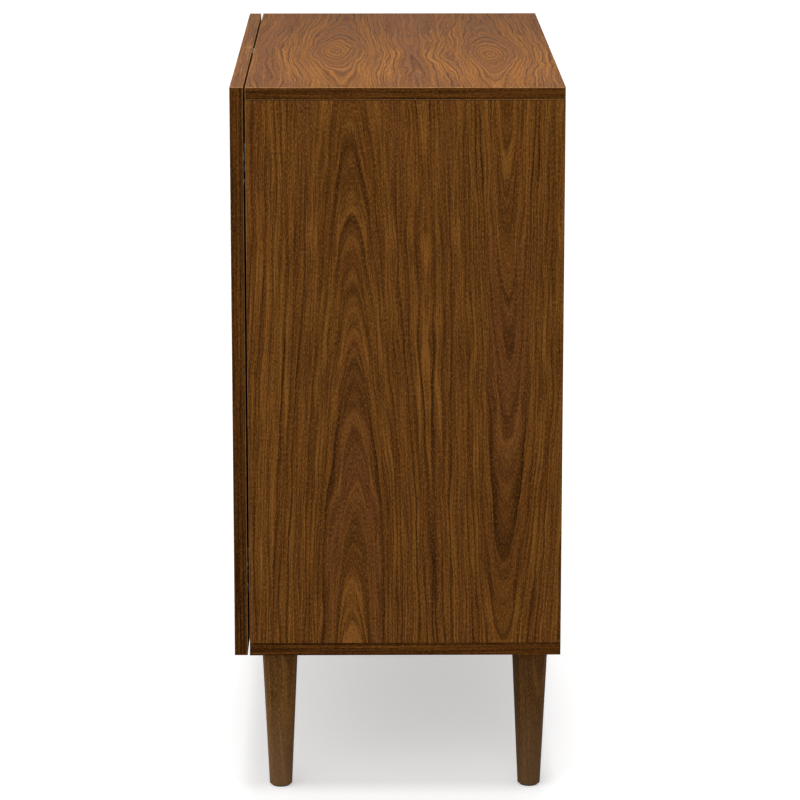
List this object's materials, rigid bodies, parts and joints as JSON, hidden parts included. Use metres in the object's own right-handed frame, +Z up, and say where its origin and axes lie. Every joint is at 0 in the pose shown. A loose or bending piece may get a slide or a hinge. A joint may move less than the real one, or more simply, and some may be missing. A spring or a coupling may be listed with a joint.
{
  "type": "shoe cabinet",
  "caption": "Low shoe cabinet on round tapered legs, with full-overlay hinged doors, a centre divider and adjustable shelves.",
  "frame": {"origin": "on the floor, under the middle of the closed cabinet's bounding box", "axes": "+X to the right seen from the front, -Y out of the front, +Z up"},
  "size_m": [0.8, 0.3984, 0.876],
  "materials": {
    "veneer_top": "walnut veneer with satin lacquer, grain across the width",
    "veneer_body": "walnut veneer with satin lacquer, upright grain",
    "veneer_door": "walnut veneer with satin lacquer, upright grain",
    "edge_band": "walnut edge band, satin",
    "leg_wood": "turned solid wood, dark stain, satin",
    "hardboard": "printed hardboard, matt",
    "beech_dowel": "raw beech",
    "nickel_steel": "nickel-plated steel",
    "zinc_fitting": "zinc-plated steel",
    "glide_plastic": "dark plastic",
    "bumper": "clear soft bumper"
  },
  "bodies": {
    "carcass": {"top_panel": "veneer_top", "top_panel_bands": "edge_band", "bottom_panel": "veneer_body", "bottom_panel_bands": "edge_band", "side_panel_left": "veneer_body", "side_panel_right": "veneer_body", "divider": "veneer_body", "upright_bands": "edge_band", "back_panel": "hardboard", "shelf_left_upper": "veneer_body", "shelf_left_middle": "veneer_body", "shelf_left_lower": "veneer_body", "shelf_right_upper": "veneer_body", "shelf_right_middle": "veneer_body", "shelf_right_lower": "veneer_body", "shelf_bands": "edge_band", "shelf_pins": "nickel_steel", "cam_locks": "zinc_fitting", "cam_bolts": "zinc_fitting", "dowels": "beech_dowel", "leg_front_left": "leg_wood", "leg_front_right": "leg_wood", "leg_back_left": "leg_wood", "leg_back_right": "leg_wood", "glide_front_left": "glide_plastic", "glide_front_right": "glide_plastic", "glide_back_left": "glide_plastic", "glide_back_right": "glide_plastic", "hanger_bolts": "zinc_fitting", "tee_nuts": "zinc_fitting", "hinge_plate_left_upper": "nickel_steel", "hinge_arm_left_upper": "nickel_steel", "hinge_plate_left_lower": "nickel_steel", "hinge_arm_left_lower": "nickel_steel", "hinge_plate_right_upper": "nickel_steel", "hinge_arm_right_upper": "nickel_steel", "hinge_plate_right_lower": "nickel_steel", "hinge_arm_right_lower": "nickel_steel", "hinge_arm_pins": "nickel_steel", "hinge_plate_screws": "zinc_fitting", "hinge_arm_screws": "zinc_fitting"},
    "left_outer_links": {"outer_links_left": "nickel_steel"},
    "left_door": {"door_left": "veneer_door", "door_left_bands": "edge_band", "door_left_bumpers": "bumper", "hinge_cup_left_upper": "nickel_steel", "hinge_cup_left_lower": "nickel_steel", "hinge_cup_pins_left": "nickel_steel", "hinge_cup_screws_left": "zinc_fitting"},
    "left_inner_links": {"inner_links_left": "nickel_steel"},
    "right_outer_links": {"outer_links_right": "nickel_steel"},
    "right_door": {"door_right": "veneer_door", "door_right_bands": "edge_band", "door_right_bumpers": "bumper", "hinge_cup_right_upper": "nickel_steel", "hinge_cup_right_lower": "nickel_steel", "hinge_cup_pins_right": "nickel_steel", "hinge_cup_screws_right": "zinc_fitting"},
    "right_inner_links": {"inner_links_right": "nickel_steel"}
  },
  "joints": [
    {"name": "right_outer_link_pivot", "type": "hinge", "parent": "carcass", "child": "right_outer_links", "pos_m": [0.366, -0.17695, 0.527], "axis": [0, 0, 1], "range_deg": [-23.75, 0]},
    {"name": "right_door_opening", "type": "hinge", "parent": "right_outer_links", "child": "right_door", "pos_m": [0.3895, -0.18485, 0.527], "axis": [0, 0, 1], "range_deg": [0, 118.75]},
    {"name": "right_inner_link_pivot", "type": "hinge", "parent": "right_door", "child": "right_inner_links", "pos_m": [0.3903, -0.19075, 0.527], "axis": [0, 0, 1], "range_deg": [-98.8, 0]},
    {"name": "left_outer_link_pivot", "type": "hinge", "parent": "carcass", "child": "left_outer_links", "pos_m": [-0.366, -0.17695, 0.527], "axis": [0, 0, -1], "range_deg": [-23.75, 0]},
    {"name": "left_door_opening", "type": "hinge", "parent": "left_outer_links", "child": "left_door", "pos_m": [-0.3895, -0.18485, 0.527], "axis": [0, 0, -1], "range_deg": [0, 118.75]},
    {"name": "left_inner_link_pivot", "type": "hinge", "parent": "left_door", "child": "left_inner_links", "pos_m": [-0.3903, -0.19075, 0.527], "axis": [0, 0, -1], "range_deg": [-98.8, 0]}
  ],
  "couplings": [
    {"joint": "right_outer_link_pivot", "follows": "right_door_opening", "ratio": -0.2},
    {"joint": "right_inner_link_pivot", "follows": "right_door_opening", "ratio": -0.832},
    {"joint": "left_outer_link_pivot", "follows": "left_door_opening", "ratio": -0.2},
    {"joint": "left_inner_link_pivot", "follows": "left_door_opening", "ratio": -0.832}
  ]
}
